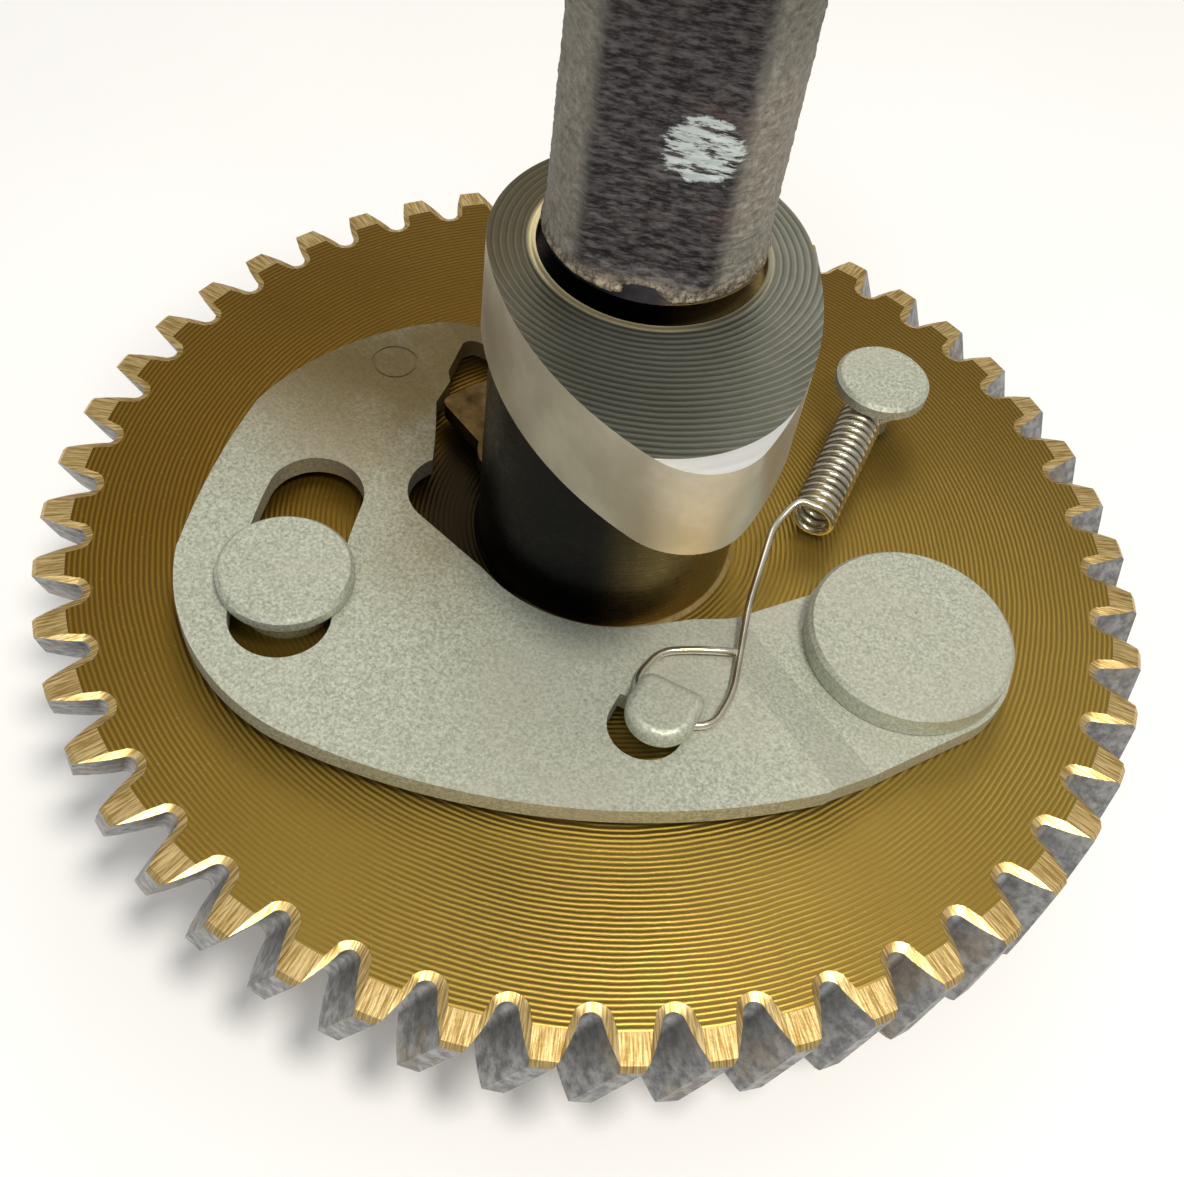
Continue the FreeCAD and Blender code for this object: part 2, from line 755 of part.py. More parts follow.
def spring_leg(coil_start, across):
    """Points of the long leg, from its free tip round the hook and up to the coil's start."""
    lift = size("wire_height")
    return [
        Vector(16.0, -8.8, lift),
        Vector(13.2, -10.2, lift),
        Vector(10.6, -11.9, lift),
        Vector(10.0, -15.4, lift),
        Vector(11.4, -17.5, lift),
        Vector(14.9, -17.5, lift),
        Vector(17.2, -16.2, lift),
        Vector(17.3, -12.6, lift),
        Vector(15.0, -4.0, lift),
        Vector(13.5, 5.2, lift),
        coil_start - across * 1.6,
        coil_start,
    ]


def return_spring():
    """The extension spring, one wire: a long leg round the hook, a close coil and an eye on the post."""
    wire = size("spring_wire")
    coil_radius = size("spring_outer_radius") - wire / 2
    height = size("spring_height")
    low = Vector(16.0, 8.4, height)
    high = Vector(15.5, 22.5, height)
    across = (high - low).normalize().cross(Vector(0, 0, 1))
    coil_start = low + Vector(0, 0, coil_radius)
    coil_end = high + Vector(0, 0, coil_radius)
    leg = spring_leg(coil_start, across)
    post = (size("post_x"), size("post_y"))
    eye_radius = size("post_neck_radius") + wire / 2 + 0.08
    eye_start = polar(eye_radius, -45, height, post)
    run_in = Vector(1, 1, 0).normalize() * 0.9
    neck = [coil_end, coil_end + across * 1.4, eye_start - run_in, eye_start]
    eye = Part.Arc(eye_start, polar(eye_radius, 90, height, post), polar(eye_radius, 225, height, post))
    path = Part.Wire(
        rounded_runs(leg, 1.6)
        + coil_turns(low, high, coil_radius, int(size("spring_turns")))
        + rounded_runs(neck, 0.6)
        + [eye.toShape()]
    )
    section = Part.Wire(Part.makeCircle(wire / 2, leg[0], leg[1] - leg[0]))
    node(plain("spring", path.makePipeShell([section], True, False)), "return_spring")


# --- build, check and write ------------------------------------------------------------------------------


def check_document():
    """Stop if any object failed to recompute or has no valid shape."""
    for item in doc.Objects:
        if "Invalid" in item.State or "Error" in item.State:
            raise RuntimeError(f"{item.Name} did not recompute: {item.State}")
    for name in NODE_NAMES:
        shape = doc.getObject(name).Shape
        if shape.isNull() or not shape.isValid() or not shape.Solids:
            raise RuntimeError(f"{doc.getObject(name).Label} has no valid solid")


def write_nodes():
    """Write one STEP file for each sub-part, named by its label."""
    os.makedirs(PART_FOLDER, exist_ok=True)
    for name in NODE_NAMES:
        feature = doc.getObject(name)
        feature.Shape.exportStep(os.path.join(PART_FOLDER, feature.Label + ".step"))
        box = feature.Shape.BoundBox
        print(f"{feature.Label:16s} solids {len(feature.Shape.Solids)} volume {feature.Shape.Volume:9.1f}"
              f"  z {box.ZMin:7.2f} {box.ZMax:7.2f}")


camshaft_core()
exhaust_cam()
intake_cam()
helical_gear()
gear_key()
flyweight()
pins()
release_pin()
release_lever()
return_spring()
doc.recompute()
check_document()
write_nodes()
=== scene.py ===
"""Camshaft with a helical timing gear and a compression release: finishes, refined pieces and light.

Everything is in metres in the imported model's own frame: +Z up the shaft, Z = 0 on the gear's face.
"""

import math

import bpy
from mathutils import Matrix, Vector, noise


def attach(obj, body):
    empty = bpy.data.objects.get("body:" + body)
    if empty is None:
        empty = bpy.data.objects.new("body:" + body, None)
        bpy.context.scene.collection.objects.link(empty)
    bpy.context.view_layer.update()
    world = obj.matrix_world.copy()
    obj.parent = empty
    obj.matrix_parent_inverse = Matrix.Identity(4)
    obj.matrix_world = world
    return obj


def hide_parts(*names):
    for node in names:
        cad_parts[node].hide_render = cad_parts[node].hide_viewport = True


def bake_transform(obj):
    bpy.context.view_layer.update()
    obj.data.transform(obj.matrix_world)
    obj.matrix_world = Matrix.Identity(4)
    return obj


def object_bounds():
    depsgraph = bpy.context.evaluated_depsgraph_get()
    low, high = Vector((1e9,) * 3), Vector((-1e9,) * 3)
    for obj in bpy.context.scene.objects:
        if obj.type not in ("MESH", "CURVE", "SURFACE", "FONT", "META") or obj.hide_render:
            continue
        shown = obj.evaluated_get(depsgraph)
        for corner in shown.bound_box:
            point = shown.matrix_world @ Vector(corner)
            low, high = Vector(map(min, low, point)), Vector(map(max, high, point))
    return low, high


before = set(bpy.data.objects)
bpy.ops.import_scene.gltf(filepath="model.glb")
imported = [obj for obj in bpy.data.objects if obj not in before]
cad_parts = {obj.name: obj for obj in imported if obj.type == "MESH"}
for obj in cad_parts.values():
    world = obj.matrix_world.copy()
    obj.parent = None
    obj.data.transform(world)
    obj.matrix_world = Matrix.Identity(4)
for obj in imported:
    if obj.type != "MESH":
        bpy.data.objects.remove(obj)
cad_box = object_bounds()

MM = 0.001
FLOOR_SIZE = 3.0

# The rough bar between the cams, in millimetres.
ROUGH_RADIUS = 7.75
ROUGH_FLAT = 6.4
ROUGH_FOOT = 32.35
ROUGH_TOP = 57.95
FLAT_ANGLE = math.radians(-73.0)
FOOT_HEIGHT = 2.4

# Which way a CAD face points, by the upward part of its normal, and how far below Z = 0 the gear's face is.
SLOPED = 0.55
LEVEL = 0.995
FACE_DEPTH = 0.012 * MM

# The dab of paint on the rough bar, in millimetres: its middle along the flat and up the shaft, and its size.
PAINT_ACROSS = 2.2
PAINT_HEIGHT = 44.2
PAINT_HALF_WIDTH = 2.75
PAINT_HALF_HEIGHT = 2.6


# --- shader helpers --------------------------------------------------------------------------------


class Finish:
    """One procedural material, built up from nodes by short calls."""

    def __init__(self, name, slot):
        self.material = bpy.data.materials.new(name)
        self.material.use_nodes = True
        self.slot = slot
        self.nodes = self.material.node_tree.nodes
        self.links = self.material.node_tree.links
        self.surface = self.nodes["Principled BSDF"]
        coordinates = self.nodes.new("ShaderNodeTexCoord")
        self.place = coordinates.outputs["Object"]
        geometry = self.nodes.new("ShaderNodeNewGeometry")
        self.normal = geometry.outputs["True Normal"]

    def put(self, socket, value):
        """Set a socket to a number or colour, or link another node's output to it."""
        if isinstance(value, bpy.types.NodeSocket):
            self.links.new(value, socket)
        elif isinstance(value, (tuple, list)) and len(value) == 3 and socket.type == "RGBA":
            socket.default_value = (*value, 1.0)
        else:
            socket.default_value = value

    def math(self, operation, first, second=0.0, third=0.0, clamp=False):
        node = self.nodes.new("ShaderNodeMath")
        node.operation = operation
        node.use_clamp = clamp
        for socket, value in zip(node.inputs, (first, second, third)):
            self.put(socket, value)
        return node.outputs[0]

    def axes(self, vector=None):
        """The x, y and z of a vector, the object's own place if none is given."""
        node = self.nodes.new("ShaderNodeSeparateXYZ")
        self.put(node.inputs[0], vector or self.place)
        return node.outputs[0], node.outputs[1], node.outputs[2]

    def vector(self, x, y, z):
        node = self.nodes.new("ShaderNodeCombineXYZ")
        for socket, value in zip(node.inputs, (x, y, z)):
            self.put(socket, value)
        return node.outputs[0]

    def scaled(self, scale):
        """The object's own place, stretched by one factor for each axis."""
        node = self.nodes.new("ShaderNodeVectorMath")
        node.operation = "MULTIPLY"
        self.put(node.inputs[0], self.place)
        node.inputs[1].default_value = scale
        return node.outputs[0]

    def noise(self, size_mm, detail=3.0, rough=0.55, vector=None):
        """Soft noise whose lumps are about size_mm across."""
        node = self.nodes.new("ShaderNodeTexNoise")
        node.inputs["Scale"].default_value = 1.0 / (size_mm * MM)
        node.inputs["Detail"].default_value = detail
        node.inputs["Roughness"].default_value = rough
        self.put(node.inputs["Vector"], vector or self.place)
        return node.outputs["Fac"]

    def cells(self, size_mm, vector=None):
        """Distance to the nearest of scattered points about size_mm apart."""
        node = self.nodes.new("ShaderNodeTexVoronoi")
        node.inputs["Scale"].default_value = 1.0 / (size_mm * MM)
        self.put(node.inputs["Vector"], vector or self.place)
        return node.outputs["Distance"]

    def ramp(self, value, low, high, start=0.0, end=1.0):
        """value carried smoothly from the range low..high to start..end, and held outside it."""
        node = self.nodes.new("ShaderNodeMapRange")
        node.interpolation_type = "SMOOTHSTEP"
        self.put(node.inputs["Value"], value)
        for name, number in zip(("From Min", "From Max", "To Min", "To Max"), (low, high, start, end)):
            node.inputs[name].default_value = number
        return node.outputs[0]

    def mix(self, factor, first, second):
        """A colour between two colours."""
        node = self.nodes.new("ShaderNodeMix")
        node.data_type = "RGBA"
        self.put(node.inputs["Factor"], factor)
        self.put(node.inputs[6], first)
        self.put(node.inputs[7], second)
        return node.outputs[2]

    def blend(self, factor, first, second):
        """A number between two numbers."""
        node = self.nodes.new("ShaderNodeMix")
        self.put(node.inputs["Factor"], factor)
        self.put(node.inputs[2], first)
        self.put(node.inputs[3], second)
        return node.outputs[0]

    def shaft_radius(self):
        """Distance from the shaft's axis."""
        x, y, _ = self.axes()
        across = self.math("ADD", self.math("MULTIPLY", x, x), self.math("MULTIPLY", y, y))
        return self.math("SQRT", across)

    def shaft_angle(self):
        """Angle about the shaft's axis in radians."""
        x, y, _ = self.axes()
        return self.math("ARCTAN2", y, x)

    def rings(self, radius, period_mm, wander):
        """Turning marks: a wave along the radius that wanders a little."""
        wandering = self.math("MULTIPLY_ADD", self.noise(9.0), wander * MM, radius)
        turns = self.math("MULTIPLY", wandering, 2 * math.pi / (period_mm * MM))
        return self.math("MULTIPLY_ADD", self.math("SINE", turns), 0.5, 0.5)

    def bump(self, height, depth_mm, strength=1.0, normal=None):
        node = self.nodes.new("ShaderNodeBump")
        node.inputs["Strength"].default_value = strength
        node.inputs["Distance"].default_value = depth_mm * MM
        self.put(node.inputs["Height"], height)
        if normal is not None:
            self.put(node.inputs["Normal"], normal)
        return node.outputs[0]

    def set(self, **values):
        """Sockets of the Principled shader by name, with _ for spaces."""
        for name, value in values.items():
            self.put(self.surface.inputs[name.replace("_", " ")], value)
        return self


def dress(finish, *names):
    """Give CAD nodes a finish."""
    for name in names:
        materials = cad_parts[name].data.materials
        materials.clear()
        materials.append(finish.material)


# --- finishes ----------------------------------------------------------------------------------------


def gear_finish():
    """Turned golden-brown face, brushed bright bevels and mottled grey-blue flanks, with painted shade on the
    face towards the left and the far side and in the gap by the hub.
    """
    f = Finish("gear_metal", "gear_metal")
    x, y, z = f.axes()
    radius = f.shaft_radius()
    angle = f.shaft_angle()
    tilt = f.axes(f.normal)[2]
    face = f.math("GREATER_THAN", z, -FACE_DEPTH)
    upward = f.math("GREATER_THAN", tilt, SLOPED)
    bevel = f.math("MULTIPLY", upward, f.math("SUBTRACT", 1.0, face))
    underside = f.math("LESS_THAN", tilt, -SLOPED)

    ring = f.rings(radius, 0.44, 0.5)
    fine = f.noise(0.35, 4.0, 0.7)
    cloud = f.noise(14.0, 4.0, 0.6)
    speck = f.ramp(f.cells(0.9), 0.0, 0.16, 1.0, 0.0)
    leftward = f.math("SUBTRACT", f.math("MULTIPLY", y, 0.45), x)
    # Painted shade: the face is darkened towards the left and far side, away from the key lamp.
    left_shade = f.ramp(leftward, -30 * MM, 30 * MM)
    # Painted shade: near black on the face by the hub's left side, in the gap under the cam overhang.
    gap_shade = f.math("MULTIPLY", f.ramp(radius, 15 * MM, 21 * MM, 1.0, 0.0), f.ramp(leftward, -3 * MM, 4 * MM))
    face_colour = f.mix(cloud, (0.32, 0.215, 0.04), (0.42, 0.29, 0.065))
    face_colour = f.mix(f.math("MULTIPLY", ring, 0.30), face_colour, (0.18, 0.10, 0.012))
    # Painted shade towards the left.
    face_colour = f.mix(f.math("MULTIPLY", left_shade, 0.85), face_colour, (0.15, 0.075, 0.003))
    # Painted shade: the face is darkened towards the far side.
    far = f.ramp(y, 2 * MM, 40 * MM, 0.0, 0.6)
    face_colour = f.mix(far, face_colour, (0.14, 0.08, 0.008))
    face_colour = f.mix(f.math("MULTIPLY", speck, 0.10), face_colour, (0.9, 0.85, 0.7))
    # Painted shade in the gap by the hub.
    face_colour = f.mix(f.math("MULTIPLY", gap_shade, 0.95), face_colour, (0.012, 0.008, 0.003))

    brush = f.vector(f.math("MULTIPLY", angle, 48.0 * MM), f.math("MULTIPLY", radius, 0.06), 0.0)
    lines = f.noise(0.16, 3.0, 0.6, brush)
    bevel_colour = f.mix(f.ramp(lines, 0.35, 0.65), (0.40, 0.25, 0.065), (0.90, 0.68, 0.32))

    mottle = f.noise(0.9, 5.0, 0.66)
    stain = f.noise(3.4, 3.0, 0.5)
    flank_colour = f.mix(f.ramp(mottle, 0.33, 0.68), (0.20, 0.20, 0.205), (0.38, 0.38, 0.37))
    flank_colour = f.mix(f.ramp(stain, 0.5, 0.72, 0.0, 0.45), flank_colour, (0.30, 0.22, 0.12))

    colour = f.mix(bevel, flank_colour, bevel_colour)
    colour = f.mix(face, colour, face_colour)
    colour = f.mix(underside, colour, (0.30, 0.21, 0.08))
    rough = f.blend(bevel, f.ramp(mottle, 0.3, 0.7, 0.62, 0.42), 0.36)
    rough = f.blend(face, rough, f.ramp(cloud, 0.3, 0.7, 0.42, 0.34))
    turned = f.math("MULTIPLY", f.math("MAXIMUM", face, underside), ring)
    relief = f.bump(turned, 0.034)
    relief = f.bump(f.math("MULTIPLY", bevel, lines), 0.03, 0.8, relief)
    grain = f.math("MULTIPLY", fine, f.blend(face, 1.0, 0.5))
    relief = f.bump(grain, 0.018, 0.8, relief)
    return f.set(Base_Color=colour, Roughness=rough, Metallic=0.88, Normal=relief)


def sintered_finish(name, slot, painted_shade):
    """Matt sparkly grey, with light scratches and, on the flyweight, brown painted shade towards the upper
    left and near the hub.
    """
    f = Finish(name, slot)
    x, y, _ = f.axes()
    radius = f.shaft_radius()
    grain = f.noise(0.28, 5.0, 0.75)
    cloud = f.noise(11.0, 4.0, 0.6)
    colour = f.mix(f.ramp(grain, 0.3, 0.7), (0.30, 0.315, 0.245), (0.66, 0.69, 0.57))
    colour = f.mix(f.ramp(cloud, 0.4, 0.75, 0.0, 0.5), colour, (0.52, 0.50, 0.41))
    pit = f.ramp(f.cells(1.7), 0.0, 0.10, 1.0, 0.0)
    colour = f.mix(f.math("MULTIPLY", pit, 0.55), colour, (0.10, 0.085, 0.06))
    glint = f.ramp(f.cells(0.75, f.scaled((1.0, 1.0, 0.2))), 0.0, 0.11, 1.0, 0.0)
    colour = f.mix(f.math("MULTIPLY", glint, 0.35), colour, (0.85, 0.85, 0.75))
    wave = f.noise(9.0, 1.0, 0.4, f.scaled((1.0, 0.25, 1.0)))
    scratch = f.ramp(f.math("ABSOLUTE", f.math("SUBTRACT", wave, 0.5)), 0.0, 0.0025, 1.0, 0.0)
    scratch = f.math("MULTIPLY", scratch, f.ramp(f.noise(5.0), 0.54, 0.62))
    colour = f.mix(f.math("MULTIPLY", scratch, 0.45), colour, (0.75, 0.74, 0.62))
    if painted_shade:
        # Painted shade: the flyweight is browned towards the upper left and near the hub.
        left = f.ramp(x, -20 * MM, 3 * MM, 1.0, 0.0)
        inner = f.math("MULTIPLY", f.ramp(radius, 15 * MM, 25 * MM, 1.0, 0.0), left)
        horn = f.ramp(y, -22 * MM, 4 * MM)
        left_shade = f.math("MAXIMUM", inner, f.math("MULTIPLY", horn, left))
        left_shade = f.math("MULTIPLY", left_shade, f.ramp(cloud, 0.25, 0.6, 0.6, 1.0), clamp=True)
        colour = f.mix(f.math("MULTIPLY", left_shade, 0.9), colour, (0.17, 0.11, 0.02))
    rough = f.ramp(grain, 0.3, 0.7, 0.62, 0.46)
    relief = f.bump(grain, 0.022)
    return f.set(Base_Color=colour, Roughness=rough, Metallic=0.55, Normal=relief)


def cam_finish(name, bore_radius):
    """Ground flanks, a dark turned end face, and painted highlights on the sloped facet and on the bore edge.
    """
    f = Finish(name, "ground_steel")
    x, y, z = f.axes()
    radius = f.shaft_radius()
    tilt = f.axes(f.normal)[2]
    end = f.math("GREATER_THAN", f.math("ABSOLUTE", tilt), LEVEL)
    facet = f.math("MULTIPLY", f.math("GREATER_THAN", tilt, 0.25), f.math("SUBTRACT", 1.0, end))
    ring = f.rings(radius, 0.52, 0.4)
    cloud = f.noise(6.0, 4.0, 0.6)
    grain = f.noise(0.3, 5.0, 0.7)
    hone = f.noise(0.12, 2.0, 0.5, f.vector(0.0, 0.0, z))
    side = f.mix(f.ramp(cloud, 0.35, 0.7), (0.46, 0.42, 0.33), (0.60, 0.56, 0.46))
    side = f.mix(f.ramp(f.cells(1.3), 0.0, 0.08, 0.5, 0.0), side, (0.16, 0.12, 0.07))
    face = f.mix(f.ramp(cloud, 0.3, 0.75), (0.15, 0.155, 0.12), (0.21, 0.215, 0.18))
    face = f.mix(f.ramp(ring, 0.55, 1.0, 0.0, 0.40), face, (0.40, 0.41, 0.36))
    face = f.mix(f.ramp(grain, 0.6, 0.8, 0.0, 0.3), face, (0.45, 0.46, 0.42))
    back = f.ramp(f.math("ADD", x, y), -4 * MM, 3 * MM)
    brown = f.math("MULTIPLY", f.ramp(x, -11 * MM, 3 * MM, 1.0, 0.0), 0.75)
    face = f.mix(brown, face, (0.075, 0.055, 0.022))
    # Painted highlight: a bright ring at the bore's edge, faded on the back side away from the lamps.
    bore_highlight = f.ramp(radius, bore_radius + 0.35 * MM, bore_radius + 0.75 * MM, 1.0, 0.0)
    bore_highlight = f.math("MULTIPLY", bore_highlight, f.math("SUBTRACT", 1.0, f.math("MULTIPLY", back, 0.8)))
    face = f.mix(bore_highlight, face, (0.80, 0.70, 0.42))
    colour = f.mix(end, side, face)
    # Painted highlight: the sloped facet is painted near white.
    colour = f.mix(facet, colour, (0.95, 0.95, 0.93))
    rough = f.blend(end, f.ramp(hone, 0.3, 0.7, 0.30, 0.38), 0.42)
    relief = f.bump(f.math("MULTIPLY", end, ring), 0.028)
    relief = f.bump(f.math("MULTIPLY", hone, f.math("SUBTRACT", 1.0, end)), 0.004, 1.0, relief)
    relief = f.bump(grain, 0.008, 1.0, relief)
    return f.set(Base_Color=colour, Roughness=rough, Metallic=0.92, Normal=relief)


def core_finish():
    """Black oily hub with a painted gold highlight at its foot and painted light on its right side, a dark
    groove and ground journals.
    """
    f = Finish("cast_iron", "cast_iron")
    x, _, z = f.axes()
    lump = f.noise(0.8, 5.0, 0.7)
    cloud = f.noise(5.0, 4.0, 0.6)
    hone = f.noise(0.15, 2.0, 0.5, f.vector(0.0, 0.0, z))
    black = f.mix(cloud, (0.003, 0.003, 0.004), (0.012, 0.010, 0.010))
    # Painted highlight: a gold band at the hub's foot, only on its lit right side.
    foot = f.math("MULTIPLY", f.ramp(z, 0.2 * MM, 0.6 * MM, 1.0, 0.0), f.ramp(x, -4 * MM, 2 * MM))
    # Painted light: the hub's right side, where the lamps fall, is lifted to brown.
    lit_side = f.ramp(x, 3 * MM, 10 * MM)
    black = f.mix(f.math("MULTIPLY", lit_side, f.ramp(hone, 0.35, 0.65, 0.4, 0.9)), black, (0.34, 0.24, 0.08))
    colour = f.mix(foot, black, (0.62, 0.46, 0.20))
    below = f.math("LESS_THAN", z, -0.01 * MM)
    above = f.math("GREATER_THAN", z, ROUGH_TOP * MM)
    machined = f.math("MAXIMUM", below, above)
    steel = f.mix(f.ramp(cloud, 0.35, 0.7), (0.40, 0.38, 0.33), (0.55, 0.53, 0.47))
    colour = f.mix(machined, colour, steel)
    rough = f.blend(machined, f.ramp(lump, 0.3, 0.7, 0.24, 0.42), f.ramp(hone, 0.3, 0.7, 0.22, 0.32))
    relief = f.bump(lump, 0.05, 0.5)
    relief = f.bump(hone, 0.003, 0.6, relief)
    return f.set(Base_Color=colour, Roughness=rough, Metallic=0.8, Specular_IOR_Level=0.25, Normal=relief)


def casting_finish():
    """Rough dark casting, rusty in places, with grey sides and a brushed dab of pale paint."""
    f = Finish("rough_casting", "cast_iron")
    x, y, z = f.axes()
    pebble = f.noise(0.55, 6.0, 0.8)
    ripple = f.noise(0.5, 4.0, 0.7, f.scaled((0.45, 0.45, 1.6)))
    cloud = f.noise(4.0, 4.0, 0.6)
    across = f.math("ADD", f.math("MULTIPLY", x, -math.sin(FLAT_ANGLE)),
                    f.math("MULTIPLY", y, math.cos(FLAT_ANGLE)))
    out = f.math("ADD", f.math("MULTIPLY", x, math.cos(FLAT_ANGLE)),
                 f.math("MULTIPLY", y, math.sin(FLAT_ANGLE)))
    side = f.ramp(f.math("ABSOLUTE", across), 4.2 * MM, 5.6 * MM)
    dark = f.mix(f.ramp(ripple, 0.35, 0.7), (0.016, 0.013, 0.016), (0.150, 0.135, 0.130))
    grey = f.mix(f.ramp(pebble, 0.3, 0.75), (0.15, 0.14, 0.11), (0.42, 0.39, 0.33))
    colour = f.mix(side, dark, grey)
    colour = f.mix(f.ramp(cloud, 0.56, 0.74, 0.0, 0.35), colour, (0.10, 0.035, 0.02))
    foot = f.ramp(z, 33.2 * MM, 34.4 * MM, 1.0, 0.0)
    foot_colour = f.mix(f.ramp(pebble, 0.4, 0.65), (0.09, 0.07, 0.05), (0.52, 0.44, 0.32))
    colour = f.mix(foot, colour, foot_colour)
    u = f.math("DIVIDE", f.math("SUBTRACT", across, PAINT_ACROSS * MM), PAINT_HALF_WIDTH * MM)
    v = f.math("DIVIDE", f.math("SUBTRACT", z, PAINT_HEIGHT * MM), PAINT_HALF_HEIGHT * MM)
    reach = f.math("SQRT", f.math("ADD", f.math("MULTIPLY", u, u), f.math("MULTIPLY", v, v)))
    ragged = f.math("MULTIPLY_ADD", f.noise(1.6, 5.0, 0.8, f.scaled((0.6, 0.6, 1.6))), 1.3, reach)
    patch = f.ramp(ragged, 1.45, 1.62, 1.0, 0.0)
    streak = f.ramp(f.noise(0.9, 4.0, 0.75, f.scaled((0.35, 0.35, 1.9))), 0.42, 0.52)
    front = f.math("GREATER_THAN", out, 4.0 * MM)
    paint = f.math("MULTIPLY", f.math("MULTIPLY", patch, streak), front)
    colour = f.mix(paint, colour, (0.62, 0.68, 0.66))
    rough = f.blend(paint, f.ramp(pebble, 0.3, 0.7, 0.55, 0.8), 0.6)
    relief = f.bump(ripple, 0.12, 0.9)
    relief = f.bump(pebble, 0.05, 0.8, relief)
    return f.set(Base_Color=colour, Roughness=rough, Metallic=0.35, Specular_IOR_Level=0.3, Normal=relief)


def plain_steel(name, slot, dark, bright, rough, size_mm):
    """A small steel piece: drawn or stamped, with a fine grain and light clouding."""
    f = Finish(name, slot)
    grain = f.noise(size_mm, 4.0, 0.65)
    cloud = f.noise(4.0, 3.0, 0.6)
    colour = f.mix(f.ramp(cloud, 0.3, 0.7), dark, bright)
    colour = f.mix(f.ramp(grain, 0.62, 0.8, 0.0, 0.4), colour, tuple(c * 0.4 for c in dark))
    relief = f.bump(grain, 0.006)
    return f.set(Base_Color=colour, Roughness=f.ramp(grain, 0.3, 0.7, rough, rough + 0.12),
                 Metallic=0.95, Normal=relief)


dress(gear_finish(), "cam_gear")
dress(sintered_finish("sintered_grey", "sintered_grey", True), "flyweight")
dress(sintered_finish("rivet_steel", "rivet_steel", False), "pivot_pin", "guide_pin", "spring_post")
dress(cam_finish("ground_steel", 8.35 * MM), "exhaust_cam")
dress(cam_finish("ground_steel_far", 8.6 * MM), "intake_cam")
dress(core_finish(), "camshaft_core")
dress(plain_steel("pin_steel", "pin_steel", (0.42, 0.40, 0.36), (0.66, 0.64, 0.60), 0.22, 0.3), "release_pin")
dress(plain_steel("lever_steel", "lever_steel", (0.03, 0.018, 0.006), (0.16, 0.10, 0.035), 0.40, 0.4),
      "release_lever")
dress(plain_steel("key_steel", "key_steel", (0.35, 0.35, 0.34), (0.5, 0.5, 0.48), 0.35, 0.3), "gear_key")


def soften(name, width_mm):
    """A narrow rounded edge that catches the light."""
    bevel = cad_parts[name].modifiers.new("soft_edge", "BEVEL")
    bevel.width = width_mm * MM
    bevel.segments = 2
    bevel.limit_method = "ANGLE"
    bevel.angle_limit = math.radians(50.0)
    bevel.harden_normals = False


soften("flyweight", 0.12)


# --- meshes ---------------------------------------------------------------------------------------------


def add_piece(name, vertices, faces, finish, body):
    """A smooth-shaded mesh piece that rides on a body."""
    mesh = bpy.data.meshes.new(name)
    mesh.from_pydata(vertices, [], faces)
    mesh.materials.append(finish.material)
    mesh.polygons.foreach_set("use_smooth", [True] * len(mesh.polygons))
    piece = bpy.data.objects.new(name, mesh)
    bpy.context.scene.collection.objects.link(piece)
    if body:
        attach(piece, body)
    return piece


def rough_section(angle, height):
    """Radius of the rough bar at an angle from its flat's normal, before its surface lumps."""
    foot = max(0.0, 1.0 - (height - ROUGH_FOOT) / FOOT_HEIGHT)
    edge = min(1.0, (height - ROUGH_FOOT) / 0.8)
    bar = ROUGH_RADIUS + 0.40 * foot * edge - 0.85 * (1.0 - edge) ** 2
    facing = abs(math.cos(angle))
    flat = ROUGH_FLAT + 1.8 * min(1.0, foot)
    if facing * bar <= flat:
        return bar
    return flat / facing


def rough_lumps(point):
    """Height of the cast skin's lumps in millimetres: fine pebbles over horizontal ripples."""
    ripple = noise.fractal(Vector((point.x * 0.8, point.y * 0.8, point.z * 2.4)), 0.8, 2.0, 3)
    pebble = noise.fractal(point * 1.9 + Vector((7.0, 3.0, 1.0)), 0.6, 2.1, 3)
    return 0.10 + 0.075 * ripple + 0.05 * pebble


def casting_skin():
    """The rough cast surface of the bar between the cams, as a closed sleeve with real lumps."""
    around = 220
    rows = 300
    vertices = []
    for row in range(rows + 1):
        height = ROUGH_FOOT + (ROUGH_TOP - ROUGH_FOOT) * row / rows
        for step in range(around):
            angle = 2 * math.pi * step / around
            radius = rough_section(angle, height)
            turn = angle + FLAT_ANGLE
            point = Vector((radius * math.cos(turn), radius * math.sin(turn), height))
            radius += rough_lumps(point)
            vertices.append((radius * math.cos(turn) * MM, radius * math.sin(turn) * MM, height * MM))
    faces = []
    for row in range(rows):
        for step in range(around):
            after = (step + 1) % around
            low = row * around
            faces.append((low + step, low + after, low + around + after, low + around + step))
    last = rows * around
    faces.append(tuple(range(around - 1, -1, -1)))
    faces.append(tuple(last + step for step in range(around)))
    return add_piece("casting_skin", vertices, faces, casting_finish(), "camshaft")


casting_skin()


# --- return spring --------------------------------------------------------------------------------------

WIRE = 0.325
COIL_RADIUS = 1.795
COIL_LOW = Vector((16.0, 8.4, 2.6))
COIL_HIGH = Vector((15.5, 22.5, 2.6))
COIL_TURNS = 16
POST = Vector((15.9, 25.2, 2.6))
EYE_RADIUS = 2.205
WIRE_HEIGHT = 3.4
LEG = [
    Vector((16.0, -8.8, WIRE_HEIGHT)),
    Vector((13.2, -10.2, WIRE_HEIGHT)),
    Vector((10.6, -11.9, WIRE_HEIGHT)),
    Vector((10.0, -15.4, WIRE_HEIGHT)),
    Vector((11.4, -17.5, WIRE_HEIGHT)),
    Vector((14.9, -17.5, WIRE_HEIGHT)),
    Vector((17.2, -16.2, WIRE_HEIGHT)),
    Vector((17.3, -12.6, WIRE_HEIGHT)),
    Vector((15.0, -4.0, WIRE_HEIGHT)),
    Vector((13.5, 5.2, WIRE_HEIGHT)),
]


